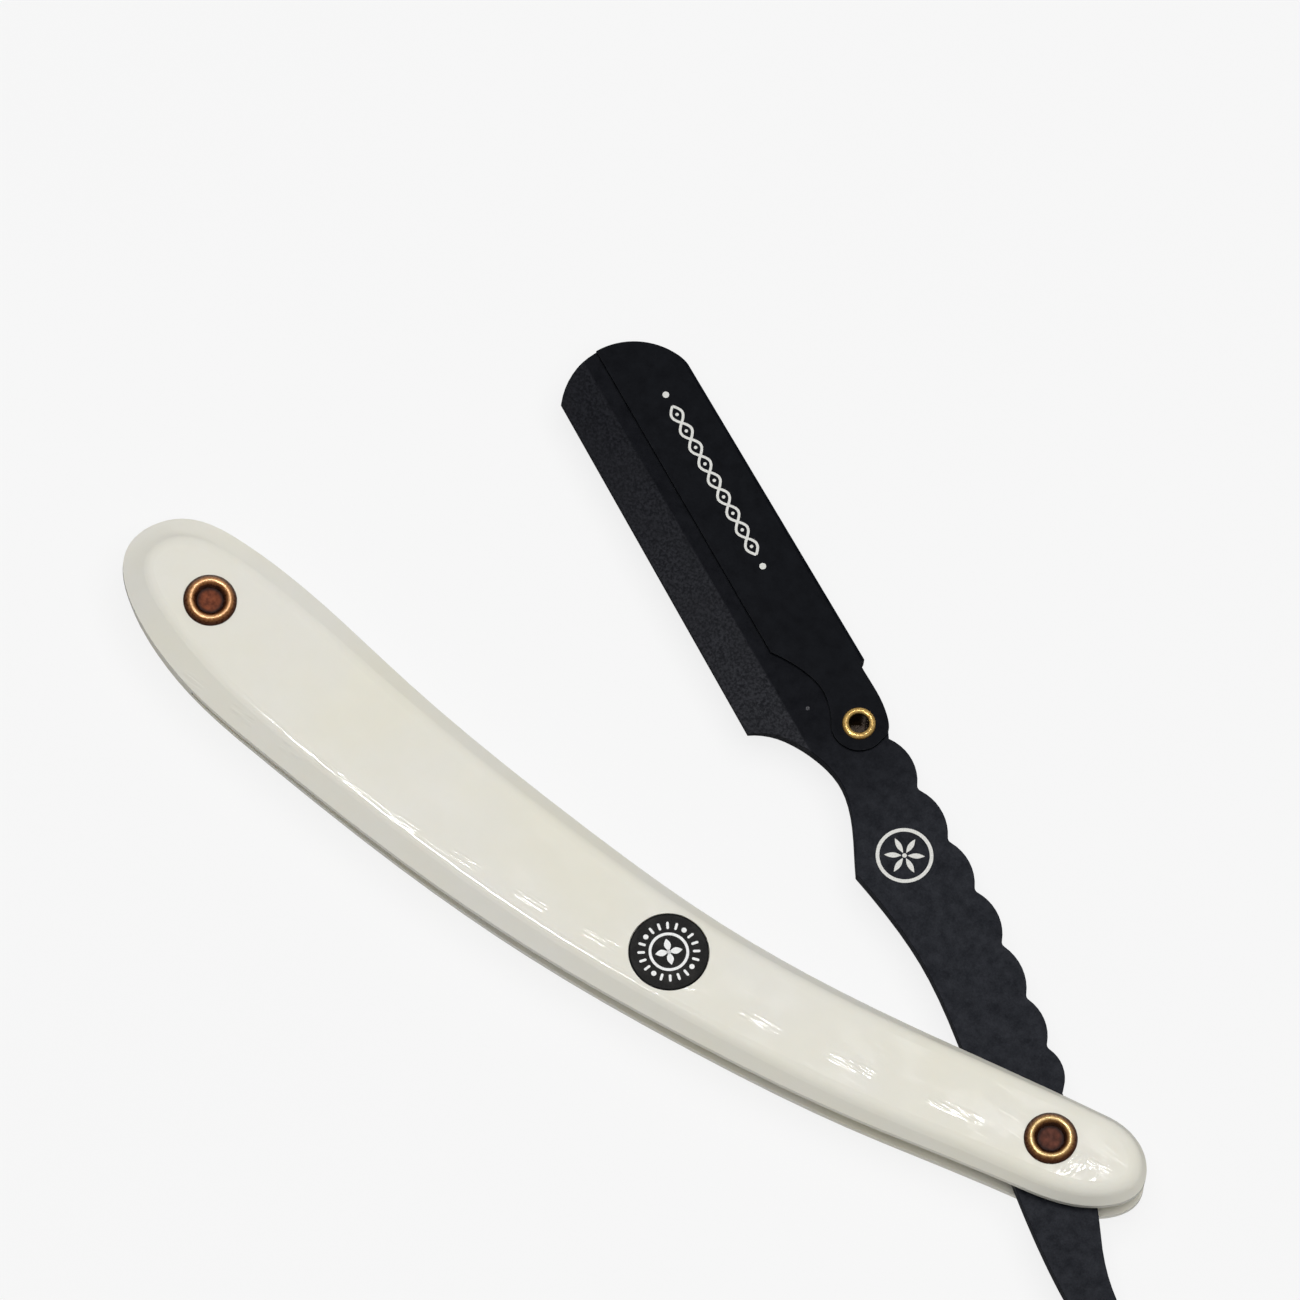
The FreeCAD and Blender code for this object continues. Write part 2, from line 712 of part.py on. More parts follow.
def make_cover():
    """The locking cover: a sheet folded over the leaves' spine, open along the front and ends."""
    body = new_body("locking_cover")
    outline = outline_sketch(body, "outline", cover_outline())
    blank = "2 * (Sizes.leaf_thickness + Sizes.cover_clearance + Sizes.cover_sheet)"
    hollow = "2 * (Sizes.leaf_thickness + Sizes.cover_clearance)"
    solid = pad(body, "blank", outline, blank, SideType="Symmetric")
    sheet_thickness = size("cover_sheet")
    far = 2 * TIP_CENTRE[0]
    corners = [
        (FOLD_HEEL_X, FOLD_HEEL_Y - sheet_thickness),
        (FOLD_HEEL_X, 2 * FOLD_HEEL_Y),
        (0, 2 * FOLD_HEEL_Y),
        (0, 2 * EDGE_Y),
        (far, 2 * EDGE_Y),
        (far, fold_height(far) - sheet_thickness),
    ]
    inner_z = size("leaf_thickness") + size("cover_clearance")

    def along_fold(edge, half_width, height_offset):
        ends = edge.Vertexes
        if len(ends) != 2 or math.dist(ends[0].Point, ends[1].Point) < FOLD_SHORTEST_EDGE:
            return False
        level = all(abs(abs(v.Z) - half_width) < 1e-6 for v in ends)
        return level and all(abs(v.Y - fold_height(v.X) - height_offset) < FOLD_TOLERANCE
                             for v in ends)

    fillet(body, "outer_bend", solid, "Sizes.fold_radius",
           lambda edge: along_fold(edge, inner_z + sheet_thickness, 0.0))
    cavity = polygon_sketch(body, "cavity", corners)
    inside = cut(body, "inside", cavity, hollow, SideType="Symmetric")
    fillet(body, "inner_bend", inside, "Sizes.fold_inner_radius",
           lambda edge: along_fold(edge, inner_z, -sheet_thickness))
    hole = circle_sketch(body, "eyelet_hole", "Sizes.eyelet_radius + Sizes.eyelet_clearance",
                         x="-Sizes.eyelet_x", y="Sizes.eyelet_y")
    cut_through(body, "eyelet_bore", hole)
    place(body, z=MIDDLE_LEVEL, turn="Sizes.opening_angle")


# ---------------------------------------------------------------------------------------------
# Assembly
# ---------------------------------------------------------------------------------------------

make_front_scale()
make_back_scale()
make_wedge_spacer()
make_medallion()
for end_name, end_x in (("pivot", "0"), ("wedge", "-Sizes.pin_spacing")):
    make_pin(end_name + "_pin", end_x)
    make_collar(end_name + "_collar_front", end_x, FRONT_FACET_LEVEL, FRONT)
    make_collar(end_name + "_collar_back", end_x, BACK_FACET_LEVEL, BACK)
make_washer("pivot_washer_back", BACK_INNER_LEVEL)
make_washer("pivot_washer_front", FRONT_INNER_LEVEL + " - Sizes.washer_thickness")
make_leaf("front_leaf", FRONT)
make_leaf("back_leaf", BACK)
make_blade_pin("blade_pin_heel", "-Sizes.heel_pin_x")
make_blade_pin("blade_pin_tip", "-Sizes.heel_pin_x - Sizes.blade_pin_spacing")
make_eyelet()
make_cover()

doc.recompute()
failed = [item.Name for item in doc.Objects if "Invalid" in item.State or "Error" in item.State]
if failed:
    raise RuntimeError("failed objects: " + ", ".join(failed))

os.makedirs("parts", exist_ok=True)
for piece in doc.Objects:
    if piece.TypeId != "PartDesign::Body":
        continue
    shape = piece.Shape
    if shape.isNull() or not shape.isValid() or len(shape.Solids) != 1:
        raise RuntimeError("bad shape: " + piece.Label)
    shape.exportStep("parts/%s.step" % piece.Label)
    box = shape.BoundBox
    print("%-20s %9.2f mm3  x %7.2f..%7.2f  y %6.2f..%6.2f  z %5.2f..%5.2f" % (
        piece.Label, shape.Volume, box.XMin, box.XMax, box.YMin, box.YMax, box.ZMin, box.ZMax))
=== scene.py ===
import json
import math

import bmesh
import bpy
from mathutils import Matrix, Vector


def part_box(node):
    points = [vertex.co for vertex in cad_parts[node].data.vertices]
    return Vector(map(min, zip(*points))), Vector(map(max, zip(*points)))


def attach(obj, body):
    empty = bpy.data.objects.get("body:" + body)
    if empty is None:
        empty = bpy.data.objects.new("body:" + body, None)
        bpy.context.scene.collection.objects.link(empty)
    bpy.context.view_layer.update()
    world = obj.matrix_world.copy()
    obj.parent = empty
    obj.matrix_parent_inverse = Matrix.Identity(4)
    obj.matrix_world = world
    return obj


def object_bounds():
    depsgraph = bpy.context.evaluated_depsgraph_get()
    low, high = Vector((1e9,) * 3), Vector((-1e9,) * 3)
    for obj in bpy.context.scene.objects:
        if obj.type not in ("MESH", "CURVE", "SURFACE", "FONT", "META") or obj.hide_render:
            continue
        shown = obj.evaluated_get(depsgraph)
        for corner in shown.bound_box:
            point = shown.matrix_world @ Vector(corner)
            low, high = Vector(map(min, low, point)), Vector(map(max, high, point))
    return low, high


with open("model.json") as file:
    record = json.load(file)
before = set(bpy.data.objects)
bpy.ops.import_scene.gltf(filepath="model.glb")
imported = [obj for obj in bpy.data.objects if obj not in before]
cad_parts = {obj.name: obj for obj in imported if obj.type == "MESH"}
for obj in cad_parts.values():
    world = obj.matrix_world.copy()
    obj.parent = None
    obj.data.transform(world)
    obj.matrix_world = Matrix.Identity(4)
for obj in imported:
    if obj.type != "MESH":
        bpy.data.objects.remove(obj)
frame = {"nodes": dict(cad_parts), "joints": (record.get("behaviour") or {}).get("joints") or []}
cad_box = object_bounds()

# Looks for the folding razor: black satin steel, ivory plastic, antique brass collars.
# Everything is in metres, in the frame of the CAD model: +Z out of the handle's front face.

MM = 0.001
nodes = frame["nodes"]
joints = {joint["name"]: joint for joint in frame["joints"]}


def centre(node):
    """Middle of a CAD node's box."""
    low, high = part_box(node)
    return (low + high) / 2


def top(node):
    """Height of a CAD node's highest point."""
    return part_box(node)[1].z


PIVOT = Vector(joints["main_pivot"]["pos_m"])
EYELET = Vector(joints["cover_swing"]["pos_m"])
WEDGE_PIN = centre("wedge_pin")
MEDALLION = centre("medallion")

MIDDLE = (Vector(cad_box[0]) + Vector(cad_box[1])) / 2

# The arm's own axes: X runs from the tip's blade pin to the heel's.
ARM_X = (centre("blade_pin_heel") - centre("blade_pin_tip")).normalized()
ARM_Y = Vector((-ARM_X.y, ARM_X.x, 0))


def on_arm(x, y, z):
    """A point given in the arm's frame, in millimetres along and across, and in metres up."""
    flat = ARM_X * (x * MM) + ARM_Y * (y * MM)
    return Vector((PIVOT.x + flat.x, PIVOT.y + flat.y, z))


# The ripples' line over the handle's face, in millimetres from the pivot: y = a + b x + c x^2.
RIPPLE_START = -1.07
RIPPLE_SLOPE = 0.2143
RIPPLE_CURVE = 0.00133
RIPPLE_HALF_WIDTH = 0.75
RIPPLE_DEPTH = 0.03
RIPPLE_TURN = 0.1
# The dashes of ripples crowd towards the wedge end: dashes per millimetre, and their growth.
DASH_RATE = 0.0667
DASH_CROWDING = 0.00037
# The rippled patch beside the pivot's collar: its middle from the pivot, and its fading edge.
PATCH_PLACE = (4.4, -1.2, 0.0)
PATCH_OUTER = 3.0
PATCH_INNER = 1.6
SWIRL_TURN = -0.5

# Where the painted sheen on the leaves and on their bevel grows along the arm, in millimetres from
# the pivot.
HOLDER_TIP = -100.0
HOLDER_END = -56.0
GRIP_START = -40.0
# The bevel's upper border in the arm's frame: y = BEVEL_LINE + BEVEL_SLOPE * x, in millimetres.
BEVEL_SLOPE = 0.0138
BEVEL_LINE = -0.63
BEVEL_SOFTNESS = 0.12
BEVEL_END = -50.5

# Radii in millimetres: a collar's outside, where the painted shade on a pin's end starts and where
# it is full, the eyelet's bore and the start of the medallion's polished rim.
COLLAR_RADIUS = 3.03
PIN_SHADE_START = 0.95
PIN_SHADE_FULL = 1.5
EYELET_BORE = 1.1
RIM_START = 4.28
RIM_SOFTNESS = 0.12

# Middles of the etched marks in the arm's frame, in millimetres.
ROSETTE_PLACE = (-37.95, 2.13)
ROW_PLACE = (-86.9, 4.2)
MARK_THICKNESS = 0.014

# The floor's size and depth below the razor in metres, and the brightness of the surroundings.
FLOOR_HALF_SIZE = 1.5
FLOOR_DROP = 0.01 * MM
FLOOR_GLOW = 0.83
FILL_LIGHT = 0.13
BACKDROP_LIGHT = 0.88

# The camera's pose: degrees from overhead, the level direction of the picture's width, and roll;
# then its distance and the width of its view in metres, and its aim from the razor's middle.
VIEW_TILT = 19.5
VIEW_HEADING = 23.8
VIEW_ROLL = 10.02
VIEW_DISTANCE = 6.0
VIEW_WIDTH = 0.14607
VIEW_SHIFT = (-21.76, 4.71, 5.28)


# ---------------------------------------------------------------------------------------------
# Material nodes
# ---------------------------------------------------------------------------------------------

class Material:
    """A Principled material with short calls for the procedural nodes that feed it."""

    def __init__(self, name):
        self.data = bpy.data.materials.new(name)
        self.data.use_nodes = True
        self.tree = self.data.node_tree
        self.shader = self.tree.nodes["Principled BSDF"]
        self.position = self.add("ShaderNodeTexCoord").outputs["Object"]

    def add(self, kind, **settings):
        node = self.tree.nodes.new(kind)
        for key, value in settings.items():
            setattr(node, key, value)
        return node

    def feed(self, socket, value):
        """Links a socket, or sets it to a plain value."""
        if isinstance(value, bpy.types.NodeSocket):
            self.tree.links.new(value, socket)
        else:
            socket.default_value = value

    def set(self, **values):
        """Sets or links sockets of the shader, named with underscores for spaces."""
        for key, value in values.items():
            self.feed(self.shader.inputs[key.replace("_", " ")], value)

    def maths(self, operation, a, b=0.0, clamp=False):
        node = self.add("ShaderNodeMath", operation=operation, use_clamp=clamp)
        self.feed(node.inputs[0], a)
        self.feed(node.inputs[1], b)
        return node.outputs[0]

    def noise(self, size, detail=3.0, roughness=0.55, stretch=(1, 1, 1), turn=0.0):
        """Fractal noise with features of about the given size, in millimetres, from 0 to 1."""
        mapping = self.add("ShaderNodeMapping")
        self.feed(mapping.inputs["Vector"], self.position)
        mapping.inputs["Rotation"].default_value = (0, 0, turn)
        mapping.inputs["Scale"].default_value = stretch
        node = self.add("ShaderNodeTexNoise")
        self.feed(node.inputs["Vector"], mapping.outputs[0])
        node.inputs["Scale"].default_value = 1 / (size * MM)
        node.inputs["Detail"].default_value = detail
        node.inputs["Roughness"].default_value = roughness
        return node.outputs["Fac"]

    def spread(self, value, low, high, to_low=0.0, to_high=1.0, smooth=False):
        """Maps a range onto another, clamped."""
        node = self.add("ShaderNodeMapRange", clamp=True)
        if smooth:
            node.interpolation_type = "SMOOTHSTEP"
        self.feed(node.inputs["Value"], value)
        node.inputs["From Min"].default_value = low
        node.inputs["From Max"].default_value = high
        node.inputs["To Min"].default_value = to_low
        node.inputs["To Max"].default_value = to_high
        return node.outputs["Result"]

    def mix(self, factor, a, b):
        """Mixes two colours."""
        node = self.add("ShaderNodeMix", data_type="RGBA")
        self.feed(node.inputs[0], factor)
        self.feed(node.inputs[6], a)
        self.feed(node.inputs[7], b)
        return node.outputs[2]

    def bands(self, value, stops):
        """A colour ramp from (position, colour) stops."""
        ramp = self.add("ShaderNodeValToRGB")
        elements = ramp.color_ramp.elements
        while len(elements) < len(stops):
            elements.new(0.5)
        for element, (place, shade) in zip(elements, stops):
            element.position = place
            element.color = shade
        self.feed(ramp.inputs[0], value)
        return ramp.outputs[0]

    def along(self, origin, axis):
        """Distance of the surface point from an origin along an axis, in metres."""
        away = self.add("ShaderNodeVectorMath", operation="SUBTRACT")
        self.feed(away.inputs[0], self.position)
        away.inputs[1].default_value = origin
        dot = self.add("ShaderNodeVectorMath", operation="DOT_PRODUCT")
        self.feed(dot.inputs[0], away.outputs[0])
        dot.inputs[1].default_value = axis
        return dot.outputs["Value"]

    def radius(self, origin):
        """Distance of the surface point from an upright axis through origin, in metres."""
        x = self.along(origin, (1, 0, 0))
        y = self.along(origin, (0, 1, 0))
        return self.maths("SQRT", self.maths("ADD", self.maths("MULTIPLY", x, x),
                                             self.maths("MULTIPLY", y, y)))

    def edges(self, distance):
        """1 within a distance of an edge, in millimetres, 0 on flats, from the bevelled normal."""
        bevel = self.add("ShaderNodeBevel", samples=6)
        bevel.inputs["Radius"].default_value = distance * MM
        flat = self.add("ShaderNodeNewGeometry")
        dot = self.add("ShaderNodeVectorMath", operation="DOT_PRODUCT")
        self.feed(dot.inputs[0], bevel.outputs[0])
        self.feed(dot.inputs[1], flat.outputs["Normal"])
        return self.spread(dot.outputs["Value"], 0.995, 0.9)

    def crevice(self, distance):
        """1 in the open, down to 0 in corners closer than a distance in millimetres."""
        node = self.add("ShaderNodeAmbientOcclusion", samples=8)
        node.inputs["Distance"].default_value = distance * MM
        return node.outputs["AO"]

    def bump(self, height, strength, distance, normal=None):
        """Bump from a height of 0 to 1 that stands for a depth in millimetres."""
        node = self.add("ShaderNodeBump")
        node.inputs["Strength"].default_value = strength
        node.inputs["Distance"].default_value = distance * MM
        self.feed(node.inputs["Height"], height)
        if normal is not None:
            self.feed(node.inputs["Normal"], normal)
        return node.outputs[0]


def colour(red, green, blue):
    """A colour with full alpha, from linear values."""
    return (red, green, blue, 1.0)


def ripples(m):
    """Height of the polishing ripples: dashes low on the face, and a patch beside the collar."""
    x = m.maths("DIVIDE", m.along(PIVOT, (1, 0, 0)), MM)
    y = m.maths("DIVIDE", m.along(PIVOT, (0, 1, 0)), MM)
    line = m.maths("ADD", m.maths("MULTIPLY", x, RIPPLE_SLOPE), RIPPLE_START)
    bend = m.maths("MULTIPLY", m.maths("MULTIPLY", x, x), RIPPLE_CURVE)
    off = m.maths("ABSOLUTE", m.maths("SUBTRACT", y, m.maths("ADD", line, bend)))
    band = m.spread(off, RIPPLE_HALF_WIDTH, 0.3 * RIPPLE_HALF_WIDTH, smooth=True)
    rate = m.maths("SUBTRACT", DASH_RATE, m.maths("MULTIPLY", x, DASH_CROWDING))
    phase = m.maths("MULTIPLY", m.maths("MULTIPLY", x, rate), 2 * math.pi)
    dash = m.spread(m.maths("SINE", phase), -0.1, 0.5, smooth=True)
    ripple = m.noise(0.42, detail=1.0, roughness=0.4, stretch=(0.10, 1.0, 1.0), turn=RIPPLE_TURN)
    rows = m.maths("MULTIPLY", m.maths("MULTIPLY", band, dash), m.spread(ripple, 0.35, 0.7))

    away = m.radius(PIVOT + Vector(PATCH_PLACE) * MM)
    patch = m.spread(away, PATCH_OUTER * MM, PATCH_INNER * MM, smooth=True)
    swirl = m.noise(1.1, detail=1.0, roughness=0.4, stretch=(1.0, 0.45, 1.0), turn=SWIRL_TURN)
    return m.maths("MAXIMUM", rows, m.maths("MULTIPLY", patch, m.spread(swirl, 0.35, 0.65)))


def ivory():
    """Moulded ivory plastic: warm white, slightly mottled, polished, with polishing ripples."""
    warm = colour(0.81, 0.785, 0.680)
    cool = colour(0.81, 0.792, 0.722)
    flecked = colour(0.78, 0.76, 0.665)
    crevice_shade_tint = colour(0.50, 0.47, 0.37)
    least_rough = 0.075

    m = Material("ivory_plastic")
    cloud = m.spread(m.noise(14.0, detail=2.0), 0.35, 0.65)
    fleck = m.spread(m.noise(1.3, detail=4.0), 0.4, 0.7)
    base = m.mix(m.maths("MULTIPLY", fleck, 0.22), m.mix(cloud, warm, cool), flecked)
    # Painted shade: the plastic is darkened in corners and creases by ambient occlusion.
    crevice_shade_mask = m.maths("MULTIPLY", m.maths("SUBTRACT", 1.0, m.crevice(1.2)), 0.12, clamp=True)
    base = m.mix(crevice_shade_mask, base, crevice_shade_tint)

    scratch = m.noise(0.25, detail=2.0, stretch=(0.05, 1.0, 1.0), turn=0.25)
    scratched = m.maths("MULTIPLY", m.spread(scratch, 0.62, 0.72), 0.08)
    dull = m.spread(m.noise(3.2, detail=2.0, stretch=(0.6, 1.0, 1.0)), 0.50, 0.60, 0.0, 0.035)
    rough = m.maths("ADD", m.maths("ADD", dull, least_rough), scratched)

    normal = m.bump(m.noise(9.0, detail=1.0, stretch=(0.25, 1.0, 1.0)), 0.35, 0.1)
    normal = m.bump(m.noise(0.8, detail=3.0), 0.2, 0.003, normal)
    normal = m.bump(ripples(m), 1.0, RIPPLE_DEPTH, normal)
    m.set(Base_Color=base, Roughness=rough, Normal=normal)
    m.set(IOR=1.49, Specular_IOR_Level=0.5, Subsurface_Weight=0.06, Subsurface_Scale=1.0 * MM)
    m.set(Subsurface_Radius=(1.0, 0.75, 0.5))
    return m.data


def black_steel(m, dark, lift, grain_depth):
    """Satin black with a fine grain, rubbed lighter on edges; gives its colour and roughness."""
    rubbed = colour(0.05, 0.051, 0.056)
    mottle = m.noise(1.6, detail=6.0, roughness=0.7)
    grain = m.noise(0.22, detail=3.0, roughness=0.75)
    both = m.maths("ADD", m.maths("MULTIPLY", mottle, 0.6), m.maths("MULTIPLY", grain, 0.4))
    base = m.mix(m.spread(both, 0.38, 0.62), dark, lift)
    worn = m.maths("MULTIPLY", m.edges(0.12), m.spread(m.noise(1.1, detail=4.0), 0.35, 0.65))
    base = m.mix(m.maths("MULTIPLY", worn, 0.25), base, rubbed)
    rough = m.spread(grain, 0.25, 0.75, 0.36, 0.52)
    normal = m.bump(grain, 0.5, grain_depth)
    normal = m.bump(m.noise(5.0, detail=2.0), 0.3, 0.02, normal)
    m.set(Base_Color=base, Roughness=rough, Normal=normal)
    m.set(IOR=1.5, Specular_IOR_Level=0.05)
    return base, rough


def leaf_steel():
    """The leaves: greyer towards the grip by a painted sheen, with a blasted bevel by the cutting
    edge that a painted sheen lightens towards the heel.
    """
    # The holder and grip colours, and the bevel's tip and heel colours, differ by a painted sheen.
    holder = colour(0.0016, 0.0020, 0.0036), colour(0.0060, 0.0066, 0.0092)
    grip = colour(0.0075, 0.0085, 0.0118), colour(0.0235, 0.0252, 0.0310)
    bevel_tip = colour(0.0036, 0.0040, 0.0058), colour(0.0145, 0.0152, 0.0192)
    bevel_heel = colour(0.0090, 0.0095, 0.0120), colour(0.0370, 0.0378, 0.0435)
    bevel_cloud = colour(0.0125, 0.0130, 0.0150)

    m = Material("blackened_steel")
    along = m.along(PIVOT, ARM_X)
    # Painted sheen: the leaves lighten from the holder to the grip.
    grip_sheen = m.spread(along, HOLDER_END * MM, GRIP_START * MM)
    dark, lift = (m.mix(grip_sheen, *pair) for pair in zip(holder, grip))
    plain, plain_rough = black_steel(m, dark, lift, 0.012)

    slope = m.maths("MULTIPLY", along, -BEVEL_SLOPE)
    line = m.maths("ADD", m.along(PIVOT, ARM_Y), slope)
    below = m.spread(line, (BEVEL_LINE + BEVEL_SOFTNESS) * MM, (BEVEL_LINE - BEVEL_SOFTNESS) * MM)
    mask = m.maths("MULTIPLY", below, m.spread(along, BEVEL_END * MM, (BEVEL_END - 1) * MM))
    # Painted sheen: the bevel lightens from the tip towards the heel.
    bevel_sheen = m.spread(along, HOLDER_TIP * MM, BEVEL_END * MM)
    dark, lit = (m.mix(bevel_sheen, *pair) for pair in zip(bevel_tip, bevel_heel))
    speckle = m.spread(m.noise(0.34, detail=3.0, roughness=0.75), 0.40, 0.62)
    cloud = m.spread(m.noise(6.0, detail=3.0), 0.3, 0.7)
    blasted = m.mix(m.maths("MULTIPLY", cloud, 0.45), m.mix(speckle, dark, lit), bevel_cloud)
    m.set(Base_Color=m.mix(mask, plain, blasted))
    m.set(Roughness=m.maths("ADD", plain_rough, m.maths("MULTIPLY", mask, 0.12)))
    return m.data


def cover_steel():
    """The cover: a smoother, deeper black than the leaves."""
    m = Material("cover_black")
    black_steel(m, colour(0.0020, 0.0024, 0.0038), colour(0.0052, 0.0060, 0.0082), 0.006)
    return m.data


def antique_brass(name, axis, crest, slope):
    """A rolled collar: bright on its crest, partly a painted highlight; brown patina on the
    slopes, darkened towards the foot by painted shade and reflection; painted shade nearly black
    inside.
    """
    bore = colour(0.012, 0.004, 0.002)
    throat = colour(0.040, 0.011, 0.005)
    skirt = colour(0.105, 0.034, 0.012)
    foot = colour(0.022, 0.008, 0.005)
    patina = colour(0.16, 0.06, 0.022)
    collar_crevice_shade = colour(0.02, 0.008, 0.005)

    m = Material(name)
    radius = m.maths("DIVIDE", m.radius(axis), COLLAR_RADIUS * MM)
    mottle = m.spread(m.noise(0.5, detail=4.0, roughness=0.6), 0.3, 0.7)
    wander = m.maths("MULTIPLY", m.maths("SUBTRACT", mottle, 0.5), 0.035)
    # Painted light in the bands: the crest's brightness is partly a painted highlight on rubbed
    # brass, the skirt and foot are darkened by painted shade and dark reflection, and the throat
    # and bore are painted shade in the hollow.
    bands = m.bands(m.maths("ADD", radius, wander), [
        (0.50, bore),
        (0.58, throat),
        (0.66, slope),
        (0.71, crest),
        (0.76, crest),
        (0.82, slope),
        (0.90, skirt),
        (1.00, foot),
    ])
    base = m.mix(m.maths("MULTIPLY", mottle, 0.18), bands, patina)
    # Painted shade: darker in corners and crevices, from ambient occlusion.
    base = m.mix(m.spread(m.crevice(0.4), 0.25, 0.75, 0.75, 0.0), base, collar_crevice_shade)
    rough = m.spread(m.noise(0.35, detail=3.0), 0.3, 0.7, 0.2, 0.38)
    m.set(Base_Color=base, Metallic=0.4, Roughness=rough)
    m.set(Normal=m.bump(m.noise(0.3, detail=3.0), 0.35, 0.012))
    return m.data


def pin_copper(name, axis, dark, light):
    """A pin's upset end: red-brown copper, dull and a little pitted, with painted shade blackening
    it towards the collar.
    """
    pin_hollow_shade = colour(0.012, 0.004, 0.003)
    m = Material(name)
    mottle = m.spread(m.noise(0.6, detail=4.0), 0.3, 0.7)
    # Painted shade: the pin's end darkens towards the collar's hollow wall.
    edge = m.spread(m.radius(axis), PIN_SHADE_START * MM, PIN_SHADE_FULL * MM, smooth=True)
    base = m.mix(edge, m.mix(mottle, dark, light), pin_hollow_shade)
    m.set(Base_Color=base, Metallic=0.3, Specular_IOR_Level=0.2)
    m.set(Roughness=m.spread(m.noise(0.4), 0.3, 0.7, 0.35, 0.55))
    m.set(Normal=m.bump(m.noise(0.25, detail=3.0), 0.5, 0.02))
    return m.data


def washer_brass():
    """The hidden washers: plain brass, darker in the corners."""
    bright = colour(0.62, 0.45, 0.2)
    dull = colour(0.34, 0.22, 0.09)
    corner_darkening = colour(0.05, 0.028, 0.010)
    m = Material("washer_brass")
    mottle = m.spread(m.noise(0.45, detail=4.0), 0.3, 0.7)
    base = m.mix(m.maths("MULTIPLY", mottle, 0.55), bright, dull)
    # Darker in the corners, from ambient occlusion.
    base = m.mix(m.spread(m.crevice(0.5), 0.2, 0.75, 0.85, 0.0), base, corner_darkening)
    m.set(Base_Color=base, Metallic=1.0)
    m.set(Roughness=m.spread(m.noise(0.3), 0.3, 0.7, 0.25, 0.39))
    m.set(Normal=m.bump(m.noise(0.35, detail=3.0), 0.3, 0.012))
    return m.data


def eyelet_brass():
    """The cover's rivet: bright gold where it is rolled over, with painted shade darkening it down
    its bore.
    """
    dull_gold = colour(0.62, 0.36, 0.095)
    bright_gold = colour(0.95, 0.66, 0.24)
    rim_gold = colour(0.30, 0.15, 0.035)
    bore_shade = colour(0.018, 0.009, 0.003)

    m = Material("eyelet_brass")
    mottle = m.spread(m.noise(0.4, detail=4.0), 0.3, 0.7)
    radius = m.radius(EYELET)
    rim = m.spread(radius, (EYELET_BORE + 0.65) * MM, (EYELET_BORE + 0.8) * MM)
    base = m.mix(rim, m.mix(mottle, dull_gold, bright_gold), rim_gold)
    # Painted shade: the brass darkens towards and down the bore.
    inside = m.spread(radius, (EYELET_BORE + 0.18) * MM, (EYELET_BORE + 0.02) * MM)
    base = m.mix(inside, base, bore_shade)
    m.set(Base_Color=base, Metallic=0.6)
    m.set(Roughness=m.spread(m.noise(0.3), 0.3, 0.7, 0.18, 0.32))
    m.set(Normal=m.bump(m.noise(0.35, detail=3.0), 0.4, 0.015))
    return m.data


def medallion_black():
    """The inlay's face: semi-matt black, rubbed grey in places, with a polished rim."""
    black = colour(0.0045, 0.0043, 0.0043)
    speck = colour(0.017, 0.016, 0.0155)
    rubbed = colour(0.045, 0.042, 0.037)
    polished = colour(0.003, 0.003, 0.003)

    m = Material("medallion_black")
    rub = m.spread(m.noise(2.6, detail=4.0, roughness=0.7), 0.48, 0.72)
    grit = m.spread(m.noise(0.18, detail=3.0, roughness=0.8), 0.35, 0.75)
    base = m.mix(m.maths("MULTIPLY", rub, 0.4), m.mix(grit, black, speck), rubbed)
    rim = m.spread(m.radius(MEDALLION), RIM_START * MM, (RIM_START + RIM_SOFTNESS) * MM)
    base = m.mix(rim, base, polished)
    m.set(Base_Color=base, Roughness=m.spread(grit, 0.0, 1.0, 0.34, 0.5))
    m.set(Normal=m.bump(grit, 0.4, 0.01))
    m.set(IOR=1.5, Specular_IOR_Level=0.1)
    return m.data


def steel_pin():
    """Bare steel of the blade pins."""
    dark = colour(0.022, 0.022, 0.025)
    light = colour(0.055, 0.055, 0.06)
    m = Material("pin_steel")
    turning = m.noise(0.1, detail=2.0, stretch=(1, 1, 0.1))
    m.set(Base_Color=m.mix(turning, dark, light))
    m.set(Metallic=0.6, Roughness=m.spread(turning, 0.3, 0.7, 0.2, 0.35))
    m.set(Normal=m.bump(turning, 0.3, 0.005))
    return m.data


def etched_silver():
    """Marks etched through the black finish: pale silver, slightly grainy and uneven."""
    dark = colour(0.50, 0.495, 0.465)
    light = colour(0.86, 0.86, 0.82)
    m = Material("etched_silver")
    grain = m.spread(m.noise(0.12, detail=3.0, roughness=0.8), 0.3, 0.75)
    m.set(Base_Color=m.mix(grain, dark, light))
    m.set(Metallic=0.15, Roughness=m.spread(grain, 0.0, 1.0, 0.45, 0.65))
    m.set(Normal=m.bump(grain, 0.4, 0.006))
    return m.data


def white_print():
    """White enamel of the medallion's marks."""
    clean = colour(0.86, 0.86, 0.85)
    dusty = colour(0.72, 0.72, 0.71)
    m = Material("white_print")
    grain = m.spread(m.noise(0.2, detail=3.0), 0.3, 0.75)
    m.set(Base_Color=m.mix(grain, clean, dusty))
    m.set(Roughness=m.spread(grain, 0.0, 1.0, 0.3, 0.45))
    m.set(Normal=m.bump(grain, 0.3, 0.004))
    return m.data


